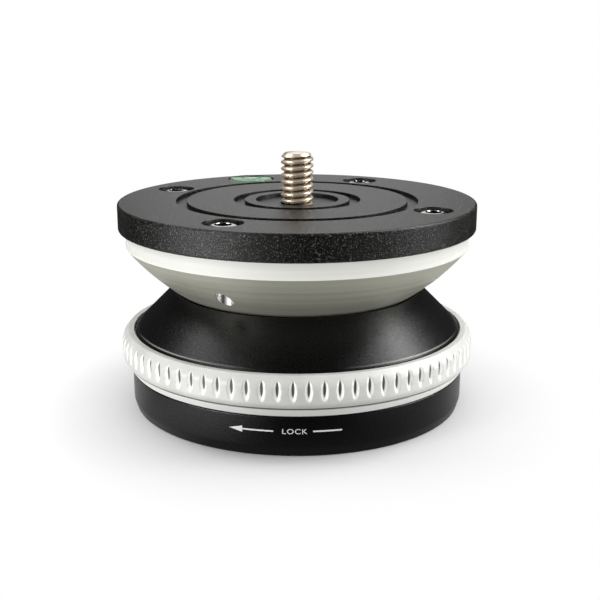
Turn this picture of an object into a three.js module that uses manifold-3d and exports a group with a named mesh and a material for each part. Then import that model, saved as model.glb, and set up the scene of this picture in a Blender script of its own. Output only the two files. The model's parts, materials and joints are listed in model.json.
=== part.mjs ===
// Leveling head for a tripod: a plate on a ball bowl, clamped by a collar that a ring screws upwards.
// Millimetres, +Z up. The origin is the middle of the foot's underside.
import * as THREE from 'three';
import Module from 'manifold-3d';
import { mergeVertices } from 'three/addons/utils/BufferGeometryUtils.js';

const wasm = await Module();
wasm.setup();

// Clearances between neighbours.
const seatGap = 0.1;
const fitGap = 0.3;
const sphereGap = 0.3;
const cutOverrun = 1;

// Foot.
const baseInset = 0.15;
const baseHeight = 7.6;
const baseChamferWidth = 0.5;
const baseChamferHeight = 1.7;
const padRimWidth = 4.15;
const padInnerRadius = 10;
const padThickness = 1;
const hubRadius = 9;
const hubDishGap = 4.5;
const wellWall = 3.2;
const wellFloorHeight = 4;

// Tripod bush in the foot.
const bushRadius = 6.8;
const bushBoreRadius = 4.1;
const bushLength = 8.6;
const bushMouthChamfer = 0.6;

// Lock ring.
const ringRadius = 35;
const ringHeight = 7.7;
const ringWall = 3.2;
const ringFootInset = 1.7;
const ringWaistInset = 0.35;
const ringWaistHeight = 1.7;
const ringTopInset = 1.1;
const ringShoulderInset = 0.25;
const ringShoulderHeight = 1.1;
const ringFlangeWidth = 5.1;
const ringFlangeThickness = 1.8;
const ringMouthDepth = 1.2;
const fluteCount = 80;
const fluteDepth = 0.45;
const fluteHeight = 3.55;
const fluteRunOut = 0.35;

// Clamp collar.
const collarStepWidth = 0.55;
const collarRise = 7.5;
const collarLipWidth = 1.1;
const collarConeWidth = 8.8;
const collarShoulderRise = 0.85;
const collarShoulderWidth = 0.35;
const skirtThickness = 3;
const webFloorDrop = 1.4;
const collarTravel = 0.5;
const linerThickness = 1;
const linerLipAngle = 2.2;
const linerSpanAngle = 6.9;
const linerEndPlayAngle = 0.5;

// Parts that hold the ring and steer the collar.
const thrustWasherThickness = 0.5;
const retainerScrewMargin = 2.4;
const retainerThickness = 1.4;
const retainerSeatGap = 0.05;
const retainerSkirtGap = 0.5;
const retainerScrewInset = 1.9;
const retainerScrewRadius = 1.25;
const retainerScrewHeadRadius = 2.1;
const retainerScrewHeadHeight = 1.2;
const retainerScrewLength = 5.8;
const retainerScrewCount = 4;
const retainerScrewStartAngle = 45;
const guidePinInset = 1.7;
const guidePinRadius = 1.25;
const guidePinDepth = 4.7;
const guidePinRoof = 1.2;
const guidePinHeadroom = 0.8;
const guidePinCount = 3;
const guidePinStartAngle = 90;

// Ball bowl.
const ballRadius = 43.1;
const ballWall = 2.8;
const bandHeight = 3.1;
const bandWall = 8.35;
const ballMouthRadius = 13.25;

// Clamp inside the ball.
const slipWasherThickness = 0.5;
const ballLinerRimAngle = 2.9;
const ballLinerSpanAngle = 16.5;
const dishEdgeAngle = 25;
const dishEdgeThickness = 0.8;
const dishFloorThickness = 2.2;
const boltRadius = 1.9;
const boltHeadRadius = 3.5;
const boltHeadHeight = 4;
const boltEngagement = 5.9;
const boltSocketWidth = 3;
const boltSocketDepth = 2;
const springWasherThickness = 0.4;

// Top plate.
const plateRadius = 35;
const plateOverhang = 1.35;
const plateThickness = 5.1;
const plateChamfer = 0.35;
const recessRadius = 8.1;
const grooveDepth = 0.75;
const grooveWidth = 2.1;
const innerGrooveRadius = 10.3;
const outerGrooveLand = 0.9;

// Plate screws.
const plateScrewInset = 6.7;
const plateScrewAngles = [-117, -27, 61, 153];
const plateScrewRadius = 2;
const plateScrewTipWall = 0.37;
const plateScrewHeadRadius = 3.1;
const plateScrewHeadHeight = 2.8;
const plateScrewSink = 0.55;
const plateScrewSocketWidth = 2.5;
const plateScrewSocketDepth = 1.7;
const counterboreGap = 0.6;
const tappedHoleRadius = 1.65;

// Camera stud, a 1/4-20 screw.
const studRadius = 3.175;
const studPitch = 1.27;
const studThreadDepth = 0.55;
const studLength = 9.85;
const studTipChamfer = 0.7;
const studFlangeRadius = 5.7;
const studFlangeThickness = 2;
const studSocketWidth = 4;
const studSocketDepth = 1.5;

// Bubble level.
const levelAngle = 110.5;
const levelInset = 5.6;
const vialRadius = 4.7;
const vialWall = 0.7;
const vialHeight = 3.8;
const vialProud = 0.2;
const levelBackingThickness = 0.5;
const bubbleRadius = 1.4;
const bubbleDepth = 0.5;

// Roundness of the meshes.
const largeCircleSides = 48;
const innerCircleSides = 36;
const smallCircleSides = 16;
const outerArcSteps = 7;
const innerArcSteps = 3;
const threadSides = 16;
const threadRingsPerTurn = 6;
const bubbleRimShare = 0.6;

// Radii that follow from the ring's and the plate's.
const baseRadius = ringRadius - ringFootInset - baseInset;
const padOuterRadius = baseRadius - padRimWidth;
const threadRadius = ringRadius - ringWall;
const collarRadius = threadRadius + collarStepWidth;
const bossRadius = threadRadius - ringFlangeWidth;
const retainerScrewCircleRadius = bossRadius - retainerScrewInset;
const retainerInnerRadius = retainerScrewCircleRadius - retainerScrewMargin;
const guidePinCircleRadius = retainerInnerRadius - guidePinInset;
const wellRadius = guidePinCircleRadius - wellWall;
const ballLipRadius = collarRadius - collarConeWidth;
const bandRadius = plateRadius - plateOverhang;
const bowlBoreRadius = bandRadius - bandWall;
const plateScrewCircleRadius = plateRadius - plateScrewInset;
const counterboreRadius = plateScrewHeadRadius + counterboreGap;
const outerGrooveRadius = plateScrewCircleRadius - counterboreRadius - outerGrooveLand - grooveWidth;
const levelCircleRadius = plateRadius - levelInset;

// Heights and inner radii that follow from the driving sizes.
const ringBottom = baseHeight + seatGap;
const ringTop = ringBottom + ringHeight;
const lipHeight = ringTop + collarRise;
const ballCentreHeight = lipHeight + Math.sqrt(ballRadius ** 2 - ballLipRadius ** 2);
const bandBottom = heightOnSphere(ballRadius, bandRadius);
const bandTop = bandBottom + bandHeight;
const plateBottom = bandTop + seatGap;
const plateTop = plateBottom + plateThickness;
const seatRadius = ballRadius + sphereGap;
const lipInnerRadius = Math.sqrt(seatRadius ** 2 - (ballCentreHeight - lipHeight) ** 2);
const seatTopAngle = angleOnSphere(seatRadius, lipInnerRadius);
const linerOuterRadius = seatRadius + linerThickness;
const linerOuterAngle = seatTopAngle - linerLipAngle;
const linerInnerAngle = linerOuterAngle - linerSpanAngle;
const cavityRadius = ballRadius - ballWall;
const ballLinerRadius = cavityRadius - sphereGap;
const ballLinerOuterAngle = angleOnSphere(cavityRadius, bowlBoreRadius) - ballLinerRimAngle;
const ballLinerInnerAngle = ballLinerOuterAngle - ballLinerSpanAngle;
const dishWasherRadius = ballLinerRadius - slipWasherThickness - sphereGap;
const hubHeight = ballCentreHeight - dishWasherRadius - hubDishGap;
const dishRadius = dishWasherRadius - slipWasherThickness - sphereGap;
const dishEdgeHeight = ballCentreHeight - dishRadius * Math.cos(radians(dishEdgeAngle));
const dishTop = dishEdgeHeight + dishEdgeThickness;
const boltHoleRadius = boltRadius + fitGap;
const dishHoleHeight = heightOnSphere(dishRadius, boltHoleRadius);
const dishPocketFloor = dishHoleHeight + dishFloorThickness;
const skirtBoreRadius = threadRadius - skirtThickness;
const flangeTop = ringBottom + ringFlangeThickness;
const skirtBottom = flangeTop + fitGap + collarTravel;
const webFloor = ringTop - webFloorDrop;
const retainerBottom = flangeTop + fitGap;
const retainerTop = retainerBottom + retainerThickness;
const bossTop = retainerBottom - retainerSeatGap;

function radians(degrees) {
  return THREE.MathUtils.degToRad(degrees);
}

// A point of a turned outline: distance from the axis, then height.
function at(radius, height) {
  return new THREE.Vector2(radius, height);
}

// A point at an angle from straight down, on a sphere round the ball's centre.
function onSphere(radius, degrees) {
  const angle = radians(degrees);
  return at(radius * Math.sin(angle), ballCentreHeight - radius * Math.cos(angle));
}

function sphereArc(radius, fromDegrees, toDegrees, steps) {
  const points = [];
  for (let step = 0; step <= steps; step += 1) {
    points.push(onSphere(radius, fromDegrees + ((toDegrees - fromDegrees) * step) / steps));
  }
  return points;
}

function angleOnSphere(sphereRadius, radius) {
  return THREE.MathUtils.radToDeg(Math.asin(radius / sphereRadius));
}

// The height of a sphere's lower side at a distance from the axis.
function heightOnSphere(sphereRadius, radius) {
  return ballCentreHeight - Math.sqrt(sphereRadius ** 2 - radius ** 2);
}

// Joins shared corners, drops the slivers at the axis and turns the faces outwards.
function closedMesh(geometry) {
  const bare = geometry.index ? geometry.toNonIndexed() : geometry.clone();
  bare.deleteAttribute('normal');
  bare.deleteAttribute('uv');
  const merged = mergeVertices(bare);
  const place = merged.attributes.position;
  const corner = [new THREE.Vector3(), new THREE.Vector3(), new THREE.Vector3()];
  const faces = [];
  let volume = 0;
  for (let i = 0; i < merged.index.count; i += 3) {
    const face = [merged.index.getX(i), merged.index.getX(i + 1), merged.index.getX(i + 2)];
    if (new Set(face).size < 3) continue;
    face.forEach((vertex, k) => corner[k].fromBufferAttribute(place, vertex));
    volume += corner[0].dot(corner[1].clone().cross(corner[2]));
    faces.push(face);
  }
  const outward = volume < 0 ? faces.map(([a, b, c]) => [a, c, b]) : faces;
  merged.setIndex(outward.flat());
  return merged;
}

// Turns an outline round +Z.
function turned(outline, sides) {
  return closedMesh(new THREE.LatheGeometry(outline, sides).rotateX(Math.PI / 2));
}

// Turns an outline that closes on itself, clear of the axis.
function turnedRing(outline, sides) {
  return turned([...outline, outline[0].clone()], sides);
}

// An upright cylinder from one height to another.
function rod(radius, bottom, top, sides = smallCircleSides) {
  const geometry = new THREE.CylinderGeometry(radius, radius, top - bottom, sides);
  return closedMesh(geometry.rotateX(Math.PI / 2).translate(0, 0, (bottom + top) / 2));
}

// An upright hexagonal prism, given by its width across the flats.
function hexPrism(width, bottom, top) {
  return rod(width / Math.sqrt(3), bottom, top, 6);
}

function toSolid(geometry) {
  const mesh = new wasm.Mesh({
    numProp: 3,
    vertProperties: new Float32Array(geometry.attributes.position.array),
    triVerts: new Uint32Array(geometry.index.array),
  });
  return new wasm.Manifold(mesh);
}

function toGeometry(solid) {
  const mesh = solid.getMesh();
  const geometry = new THREE.BufferGeometry();
  geometry.setAttribute('position', new THREE.BufferAttribute(mesh.vertProperties, 3));
  geometry.setIndex(new THREE.BufferAttribute(mesh.triVerts, 1));
  return geometry;
}

function cut(geometry, tools) {
  return toGeometry(tools.reduce((solid, tool) => solid.subtract(toSolid(tool)), toSolid(geometry)));
}

function joined(first, second) {
  return toGeometry(toSolid(first).add(toSolid(second)));
}

// Angles that share a full turn evenly.
function evenAngles(startDegrees, count) {
  return Array.from({ length: count }, (_, i) => startDegrees + (360 * i) / count);
}

// Copies of a geometry at the given angles of a circle round the axis.
function roundCircle(geometry, circleRadius, angles) {
  return angles.map((degrees) => {
    const x = circleRadius * Math.cos(radians(degrees));
    const y = circleRadius * Math.sin(radians(degrees));
    return geometry.clone().translate(x, y, 0);
  });
}

// A rod with a helical thread and a bevelled tip.
function threadedRod(radius, depth, pitch, bottom, top, tipChamfer) {
  const rings = Math.round(((top - bottom) / pitch) * threadRingsPerTurn);
  const positions = [];
  const faces = [];
  for (let ring = 0; ring <= rings; ring += 1) {
    const height = bottom + ((top - bottom) * ring) / rings;
    const tipRadius = radius - Math.max(0, tipChamfer - (top - height));
    for (let side = 0; side < threadSides; side += 1) {
      const turn = side / threadSides;
      const wave = (1 - Math.cos(2 * Math.PI * (height / pitch - turn))) / 2;
      const reach = Math.min(radius - depth * wave, tipRadius);
      const angle = 2 * Math.PI * turn;
      positions.push(reach * Math.cos(angle), reach * Math.sin(angle), height);
    }
  }
  const lowest = positions.length / 3;
  positions.push(0, 0, bottom, 0, 0, top);
  const last = rings * threadSides;
  for (let side = 0; side < threadSides; side += 1) {
    const next = (side + 1) % threadSides;
    for (let ring = 0; ring < rings; ring += 1) {
      const low = ring * threadSides;
      const high = low + threadSides;
      faces.push(low + side, low + next, high + next);
      faces.push(low + side, high + next, high + side);
    }
    faces.push(lowest, next, side);
    faces.push(lowest + 1, last + side, last + next);
  }
  const geometry = new THREE.BufferGeometry();
  geometry.setAttribute('position', new THREE.Float32BufferAttribute(positions, 3));
  geometry.setIndex(faces);
  return geometry;
}

const finishes = {
  blackPaint: { color: 0x1c1c1e, roughness: 0.55, metalness: 0.2 },
  silver: { color: 0xc9c9c6, roughness: 0.35, metalness: 0.9 },
  steel: { color: 0xb3a594, roughness: 0.3, metalness: 1 },
  darkSteel: { color: 0x2a2a2c, roughness: 0.4, metalness: 0.8 },
  bronze: { color: 0xa9824f, roughness: 0.4, metalness: 0.9 },
  slipPlastic: { color: 0xd8d6cf, roughness: 0.6, metalness: 0 },
  rubber: { color: 0x161616, roughness: 0.9, metalness: 0 },
  clear: { color: 0xe6f2ea, roughness: 0.08, metalness: 0, transparent: true, opacity: 0.35 },
  liquid: { color: 0x8fcf96, roughness: 0.2, metalness: 0 },
};

const levelingHead = new THREE.Group();

function addPiece(name, geometry, finish, carrier = levelingHead) {
  geometry.computeVertexNormals();
  const piece = new THREE.Mesh(geometry, new THREE.MeshStandardMaterial(finishes[finish]));
  piece.name = name;
  carrier.add(piece);
  return piece;
}

// Adds numbered copies of a piece on a circle; each is placed by its own position.
function addRoundCircle(name, geometry, finish, circleRadius, angles) {
  angles.forEach((degrees, i) => {
    const angle = radians(degrees);
    const piece = addPiece(`${name}_${i + 1}`, geometry.clone(), finish);
    piece.position.set(circleRadius * Math.cos(angle), circleRadius * Math.sin(angle), 0);
  });
}

// A cap screw: its head's underside is at the given height and its shank points down.
function capScrew(shankRadius, length, headRadius, headHeight, seatHeight, socketWidth, socketDepth) {
  const headTop = seatHeight + headHeight;
  const outline = [
    at(0, seatHeight - length),
    at(shankRadius, seatHeight - length),
    at(shankRadius, seatHeight),
    at(headRadius, seatHeight),
    at(headRadius, headTop),
    at(0, headTop),
  ];
  const socket = hexPrism(socketWidth, headTop - socketDepth, headTop + cutOverrun);
  return cut(turned(outline, smallCircleSides), [socket]);
}

const retainerScrewAngles = evenAngles(retainerScrewStartAngle, retainerScrewCount);
const guidePinAngles = evenAngles(guidePinStartAngle, guidePinCount);
const guidePinBottom = bossTop - guidePinDepth;
const guidePinHoleRadius = guidePinRadius + fitGap;
const guidePinHoleTop =
  heightOnSphere(linerOuterRadius + sphereGap, guidePinCircleRadius - guidePinHoleRadius) - guidePinRoof;
const guidePinTop = guidePinHoleTop - guidePinHeadroom;
const retainerScrewSeat = retainerTop + seatGap;
const retainerScrewTip = retainerScrewSeat - retainerScrewLength;
const bushPocketTop = bushLength + fitGap;
const padRecessTop = padThickness + seatGap;
const washerBottom = baseHeight - thrustWasherThickness;
const washerRecessInner = bossRadius;
const washerRecessOuter = threadRadius + fitGap;

function baseBody() {
  const bushPocketRadius = bushRadius + fitGap;
  const body = turnedRing([
    at(bushPocketRadius, 0),
    at(padInnerRadius - fitGap, 0),
    at(padInnerRadius - fitGap, padRecessTop),
    at(padOuterRadius + fitGap, padRecessTop),
    at(padOuterRadius + fitGap, 0),
    at(baseRadius - baseChamferWidth, 0),
    at(baseRadius, baseChamferHeight),
    at(baseRadius, baseHeight),
    at(washerRecessOuter, baseHeight),
    at(washerRecessOuter, washerBottom - seatGap),
    at(washerRecessInner, washerBottom - seatGap),
    at(bossRadius, bossTop),
    at(wellRadius, bossTop),
    at(wellRadius, wellFloorHeight),
    at(hubRadius, wellFloorHeight),
    at(hubRadius, hubHeight),
    at(boltHoleRadius, hubHeight),
    at(boltHoleRadius, bushPocketTop),
    at(bushPocketRadius, bushPocketTop),
  ], largeCircleSides);
  const pinHole = rod(guidePinRadius + fitGap / 2, guidePinBottom - seatGap, bossTop + cutOverrun);
  const screwTop = bossTop + cutOverrun;
  const screwHole = rod(retainerScrewRadius + fitGap / 2, retainerScrewTip - fitGap, screwTop);
  return cut(body, [
    ...roundCircle(pinHole, guidePinCircleRadius, guidePinAngles),
    ...roundCircle(screwHole, retainerScrewCircleRadius, retainerScrewAngles),
  ]);
}

function tripodBush() {
  return turnedRing([
    at(bushBoreRadius + bushMouthChamfer, 0),
    at(bushRadius, 0),
    at(bushRadius, bushLength),
    at(bushBoreRadius, bushLength),
    at(bushBoreRadius, bushMouthChamfer),
  ], innerCircleSides);
}

function basePad() {
  return turnedRing([
    at(padInnerRadius, 0),
    at(padOuterRadius, 0),
    at(padOuterRadius, padThickness),
    at(padInnerRadius, padThickness),
  ], innerCircleSides);
}

function thrustWasher() {
  return turnedRing([
    at(washerRecessInner + fitGap, washerBottom - seatGap / 2),
    at(washerRecessOuter - fitGap, washerBottom - seatGap / 2),
    at(washerRecessOuter - fitGap, baseHeight - seatGap / 2),
    at(washerRecessInner + fitGap, baseHeight - seatGap / 2),
  ], innerCircleSides);
}

// The ring's outside has two rows that dip at each flute; its bores are cut out of it.
function lockRing() {
  const flangeRadius = bossRadius + fitGap;
  const fluteTop = ringTop - ringShoulderHeight;
  const fluteBottom = fluteTop - fluteHeight;
  const dipTop = fluteTop - fluteRunOut;
  const dipBottom = fluteBottom + fluteRunOut;
  const outside = turned([
    at(0, ringBottom),
    at(ringRadius - ringFootInset, ringBottom),
    at(ringRadius - ringWaistInset, ringBottom + ringWaistHeight),
    at(ringRadius, fluteBottom),
    at(ringRadius, dipBottom),
    at(ringRadius, dipTop),
    at(ringRadius - ringShoulderInset, fluteTop),
    at(ringRadius - ringTopInset, ringTop),
    at(0, ringTop),
  ], 2 * fluteCount);
  const place = outside.attributes.position;
  for (let i = 0; i < place.count; i += 1) {
    const height = place.getZ(i);
    const inBand = height > (fluteBottom + dipBottom) / 2 && height < (fluteTop + dipTop) / 2;
    const turn = Math.atan2(place.getY(i), place.getX(i)) / (2 * Math.PI);
    const onFlute = Math.round(turn * 2 * fluteCount) % 2 === 0;
    if (inBand && onFlute) {
      const share = 1 - fluteDepth / ringRadius;
      place.setXY(i, place.getX(i) * share, place.getY(i) * share);
    }
  }
  const above = ringTop + cutOverrun;
  return cut(outside, [
    rod(flangeRadius, ringBottom - cutOverrun, above, innerCircleSides),
    rod(threadRadius + fitGap, flangeTop, above, innerCircleSides),
    rod(collarRadius + fitGap, ringTop - ringMouthDepth, above, innerCircleSides),
  ]);
}

function retainerRing() {
  const outerRadius = skirtBoreRadius - retainerSkirtGap;
  const ring = turnedRing([
    at(retainerInnerRadius, retainerBottom),
    at(outerRadius, retainerBottom),
    at(outerRadius, retainerTop),
    at(retainerInnerRadius, retainerTop),
  ], innerCircleSides);
  const hole = rod(retainerScrewRadius + fitGap / 2, retainerBottom - cutOverrun, retainerTop + cutOverrun);
  return cut(ring, roundCircle(hole, retainerScrewCircleRadius, retainerScrewAngles));
}

function retainerScrew() {
  return turned([
    at(0, retainerScrewTip),
    at(retainerScrewRadius, retainerScrewTip),
    at(retainerScrewRadius, retainerScrewSeat),
    at(retainerScrewHeadRadius, retainerScrewSeat),
    at(retainerScrewHeadRadius, retainerScrewSeat + retainerScrewHeadHeight),
    at(0, retainerScrewSeat + retainerScrewHeadHeight),
  ], smallCircleSides);
}

function clampCollar() {
  const skirtStep = ringTop - ringMouthDepth + fitGap / 2 + collarTravel;
  const shoulderTop = ringTop + collarShoulderRise;
  const recessRadiusOfLiner = linerOuterRadius + sphereGap;
  const recessTopAngle = linerOuterAngle + linerEndPlayAngle;
  const recessBottomAngle = linerInnerAngle - linerEndPlayAngle;
  const bore = onSphere(recessRadiusOfLiner, recessBottomAngle);
  const collar = turnedRing([
    at(threadRadius, skirtBottom),
    at(threadRadius, skirtStep),
    at(collarRadius, skirtStep),
    at(collarRadius, ringTop + collarShoulderWidth),
    at(collarRadius - collarShoulderWidth, shoulderTop),
    at(lipInnerRadius + collarLipWidth, lipHeight),
    at(lipInnerRadius, lipHeight),
    ...sphereArc(seatRadius, seatTopAngle, recessTopAngle, 1).slice(1),
    ...sphereArc(recessRadiusOfLiner, recessTopAngle, recessBottomAngle, innerArcSteps),
    at(bore.x, webFloor),
    at(skirtBoreRadius, webFloor),
    at(skirtBoreRadius, skirtBottom),
  ], largeCircleSides);
  const pinHole = rod(guidePinHoleRadius, webFloor - cutOverrun, guidePinHoleTop);
  return cut(collar, roundCircle(pinHole, guidePinCircleRadius, guidePinAngles));
}

// A thin spherical washer: the outer radius, its thickness and its two edge angles.
function sphericalWasher(outerRadius, thickness, innerDegrees, outerDegrees) {
  return turnedRing([
    ...sphereArc(outerRadius, innerDegrees, outerDegrees, innerArcSteps),
    ...sphereArc(outerRadius - thickness, outerDegrees, innerDegrees, innerArcSteps),
  ], innerCircleSides);
}

function clampDish() {
  const pocketRadius = boltHeadRadius + fitGap;
  const holeDegrees = angleOnSphere(dishRadius, boltHoleRadius);
  return turnedRing([
    ...sphereArc(dishRadius, holeDegrees, dishEdgeAngle, innerArcSteps),
    at(onSphere(dishRadius, dishEdgeAngle).x, dishTop),
    at(pocketRadius, dishTop),
    at(pocketRadius, dishPocketFloor),
    at(boltHoleRadius, dishPocketFloor),
  ], innerCircleSides);
}

function springWasher() {
  const bottom = dishPocketFloor + seatGap;
  return turnedRing([
    at(boltHoleRadius, bottom),
    at(boltHeadRadius, bottom),
    at(boltHeadRadius, bottom + springWasherThickness),
    at(boltHoleRadius, bottom + springWasherThickness),
  ], smallCircleSides);
}

function clampBolt() {
  const seat = dishPocketFloor + springWasherThickness + 2 * seatGap;
  const length = seat - (hubHeight - boltEngagement);
  const head = [boltHeadRadius, boltHeadHeight, seat, boltSocketWidth, boltSocketDepth];
  return capScrew(boltRadius, length, ...head);
}

const plateScrewSeat = plateTop - plateScrewSink - plateScrewHeadHeight;
const plateScrewHoleReach = plateScrewCircleRadius + plateScrewRadius + fitGap / 2;
const plateScrewHoleFloor = heightOnSphere(ballRadius, plateScrewHoleReach) + plateScrewTipWall;
const plateScrewTip = plateScrewHoleFloor + fitGap;

function ballShell() {
  const shell = turnedRing([
    ...sphereArc(
      ballRadius,
      angleOnSphere(ballRadius, ballMouthRadius),
      angleOnSphere(ballRadius, bandRadius),
      outerArcSteps,
    ),
    at(bandRadius, bandTop),
    at(bowlBoreRadius, bandTop),
    ...sphereArc(
      cavityRadius,
      angleOnSphere(cavityRadius, bowlBoreRadius),
      angleOnSphere(cavityRadius, ballMouthRadius),
      innerArcSteps,
    ),
  ], largeCircleSides);
  const shankHole = rod(plateScrewRadius + fitGap / 2, plateScrewHoleFloor, bandTop + cutOverrun);
  const tappedHoleBottom = heightOnSphere(ballRadius, plateScrewCircleRadius) - tappedHoleRadius - cutOverrun;
  const tappedHole = rod(tappedHoleRadius, tappedHoleBottom, bandTop);
  return cut(shell, [
    ...roundCircle(shankHole, plateScrewCircleRadius, plateScrewAngles),
    ...roundCircle(tappedHole, plateScrewCircleRadius, plateScrewAngles),
  ]);
}

const recessFloor = plateTop - grooveDepth;
const levelPocketFloor = plateTop + vialProud - vialHeight - seatGap;

function topPlate() {
  const studHoleRadius = studRadius + fitGap / 2;
  const flangePocketRadius = studFlangeRadius + fitGap;
  const flangePocketTop = plateBottom + studFlangeThickness + 2 * seatGap;
  const plate = turnedRing([
    at(studHoleRadius, recessFloor),
    at(recessRadius, recessFloor),
    at(recessRadius, plateTop),
    at(innerGrooveRadius, plateTop),
    at(innerGrooveRadius, recessFloor),
    at(innerGrooveRadius + grooveWidth, recessFloor),
    at(innerGrooveRadius + grooveWidth, plateTop),
    at(outerGrooveRadius, plateTop),
    at(outerGrooveRadius, recessFloor),
    at(outerGrooveRadius + grooveWidth, recessFloor),
    at(outerGrooveRadius + grooveWidth, plateTop),
    at(plateRadius - plateChamfer, plateTop),
    at(plateRadius, plateTop - plateChamfer),
    at(plateRadius, plateBottom + plateChamfer),
    at(plateRadius - plateChamfer, plateBottom),
    at(flangePocketRadius, plateBottom),
    at(flangePocketRadius, flangePocketTop),
    at(studHoleRadius, flangePocketTop),
  ], largeCircleSides);
  const above = plateTop + cutOverrun;
  const counterbore = rod(counterboreRadius, plateScrewSeat - seatGap, above);
  const shankHole = rod(plateScrewRadius + fitGap, plateBottom - cutOverrun, above);
  const levelPocket = rod(vialRadius + fitGap, levelPocketFloor, above, innerCircleSides);
  return cut(plate, [
    ...roundCircle(counterbore, plateScrewCircleRadius, plateScrewAngles),
    ...roundCircle(shankHole, plateScrewCircleRadius, plateScrewAngles),
    ...roundCircle(levelPocket, levelCircleRadius, [levelAngle]),
  ]);
}

function cameraStud() {
  const flangeBottom = plateBottom + seatGap;
  const flangeTopHeight = flangeBottom + studFlangeThickness;
  const tip = recessFloor + studLength;
  const flange = rod(studFlangeRadius, flangeBottom, flangeTopHeight);
  const shankRadius = studRadius - studThreadDepth;
  const shank = rod(shankRadius, flangeTopHeight - studFlangeThickness / 2, recessFloor + studPitch);
  const thread = threadedRod(studRadius, studThreadDepth, studPitch, recessFloor, tip, studTipChamfer);
  const socketBottom = flangeBottom - cutOverrun;
  const socket = hexPrism(studSocketWidth, socketBottom, flangeBottom + studSocketDepth);
  return cut(joined(joined(flange, shank), thread), [socket]);
}

// The level's pieces are turned round their own axis, then stand in the pocket.
const vialBottom = levelPocketFloor + seatGap;
const vialTop = vialBottom + vialHeight;
const vialBoreRadius = vialRadius - vialWall;
const vialRoof = vialTop - vialWall;
const liquidRadius = vialBoreRadius - seatGap;
const backingTop = vialBottom + levelBackingThickness;
const liquidTop = vialRoof - seatGap;

function levelVial() {
  return turned([
    at(vialBoreRadius, vialBottom),
    at(vialRadius, vialBottom),
    at(vialRadius, vialTop),
    at(0, vialTop),
    at(0, vialRoof),
    at(vialBoreRadius, vialRoof),
    at(vialBoreRadius, vialBottom),
  ], smallCircleSides);
}

// The top of the liquid dips where the bubble lies.
function levelLiquid() {
  return turned([
    at(0, backingTop + seatGap),
    at(liquidRadius, backingTop + seatGap),
    at(liquidRadius, liquidTop),
    at(bubbleRadius, liquidTop),
    at(bubbleRadius * bubbleRimShare, liquidTop - bubbleDepth * bubbleRimShare),
    at(0, liquidTop - bubbleDepth),
  ], smallCircleSides);
}

addPiece('base_body', baseBody(), 'blackPaint');
addPiece('tripod_bush', tripodBush(), 'steel');
addPiece('base_pad', basePad(), 'rubber');
addPiece('thrust_washer', thrustWasher(), 'slipPlastic');
addPiece('lock_ring', lockRing(), 'silver');
addPiece('retainer_ring', retainerRing(), 'steel');
addRoundCircle(
  'retainer_screw',
  retainerScrew(),
  'darkSteel',
  retainerScrewCircleRadius,
  retainerScrewAngles,
);
const guidePin = rod(guidePinRadius, guidePinBottom, guidePinTop);
addRoundCircle('guide_pin', guidePin, 'steel', guidePinCircleRadius, guidePinAngles);

addPiece('clamp_collar', clampCollar(), 'blackPaint');
const seatLiner = sphericalWasher(linerOuterRadius, linerThickness, linerInnerAngle, linerOuterAngle);
addPiece('seat_liner', seatLiner, 'slipPlastic');

const washerHoleAngle = 2 * angleOnSphere(dishWasherRadius, boltHoleRadius);
const dishWasher = sphericalWasher(dishWasherRadius, slipWasherThickness, washerHoleAngle, dishEdgeAngle);
const ballLinerAngles = [ballLinerInnerAngle, ballLinerOuterAngle];
const ballLiner = sphericalWasher(ballLinerRadius, slipWasherThickness, ...ballLinerAngles);
addPiece('clamp_dish', clampDish(), 'darkSteel');
addPiece('spring_washer', springWasher(), 'steel');
addPiece('clamp_bolt', clampBolt(), 'darkSteel');
addPiece('dish_washer', dishWasher, 'bronze');
addPiece('ball_liner', ballLiner, 'bronze');

addPiece('ball_shell', ballShell(), 'silver');
addPiece('top_plate', topPlate(), 'blackPaint');
addPiece('camera_stud', cameraStud(), 'steel');
addRoundCircle(
  'plate_screw',
  capScrew(
    plateScrewRadius,
    plateScrewSeat - plateScrewTip,
    plateScrewHeadRadius,
    plateScrewHeadHeight,
    plateScrewSeat,
    plateScrewSocketWidth,
    plateScrewSocketDepth,
  ),
  'darkSteel',
  plateScrewCircleRadius,
  plateScrewAngles,
);

const level = new THREE.Group();
level.position.x = levelCircleRadius * Math.cos(radians(levelAngle));
level.position.y = levelCircleRadius * Math.sin(radians(levelAngle));
levelingHead.add(level);
addPiece('level_backing', rod(liquidRadius, vialBottom, backingTop), 'slipPlastic', level);
addPiece('level_liquid', levelLiquid(), 'liquid', level);
addPiece('level_vial', levelVial(), 'clear', level);

export default levelingHead;
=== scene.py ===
import json
import math

import bmesh
import bpy
from mathutils import Matrix, Vector


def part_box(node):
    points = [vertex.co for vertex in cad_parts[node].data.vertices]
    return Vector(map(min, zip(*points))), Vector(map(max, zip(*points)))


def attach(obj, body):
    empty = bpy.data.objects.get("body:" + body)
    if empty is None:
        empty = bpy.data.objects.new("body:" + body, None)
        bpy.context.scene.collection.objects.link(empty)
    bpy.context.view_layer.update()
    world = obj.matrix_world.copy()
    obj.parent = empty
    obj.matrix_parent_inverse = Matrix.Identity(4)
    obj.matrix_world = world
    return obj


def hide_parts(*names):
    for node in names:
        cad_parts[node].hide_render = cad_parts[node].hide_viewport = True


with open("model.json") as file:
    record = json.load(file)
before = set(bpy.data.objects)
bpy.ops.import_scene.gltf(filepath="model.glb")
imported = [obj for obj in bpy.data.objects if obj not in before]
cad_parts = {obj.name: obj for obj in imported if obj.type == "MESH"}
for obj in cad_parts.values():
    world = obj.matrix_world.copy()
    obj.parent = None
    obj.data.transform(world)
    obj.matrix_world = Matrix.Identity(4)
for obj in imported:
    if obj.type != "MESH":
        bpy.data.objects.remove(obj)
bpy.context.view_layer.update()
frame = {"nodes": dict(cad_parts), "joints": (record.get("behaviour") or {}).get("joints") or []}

MM = 0.001

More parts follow.
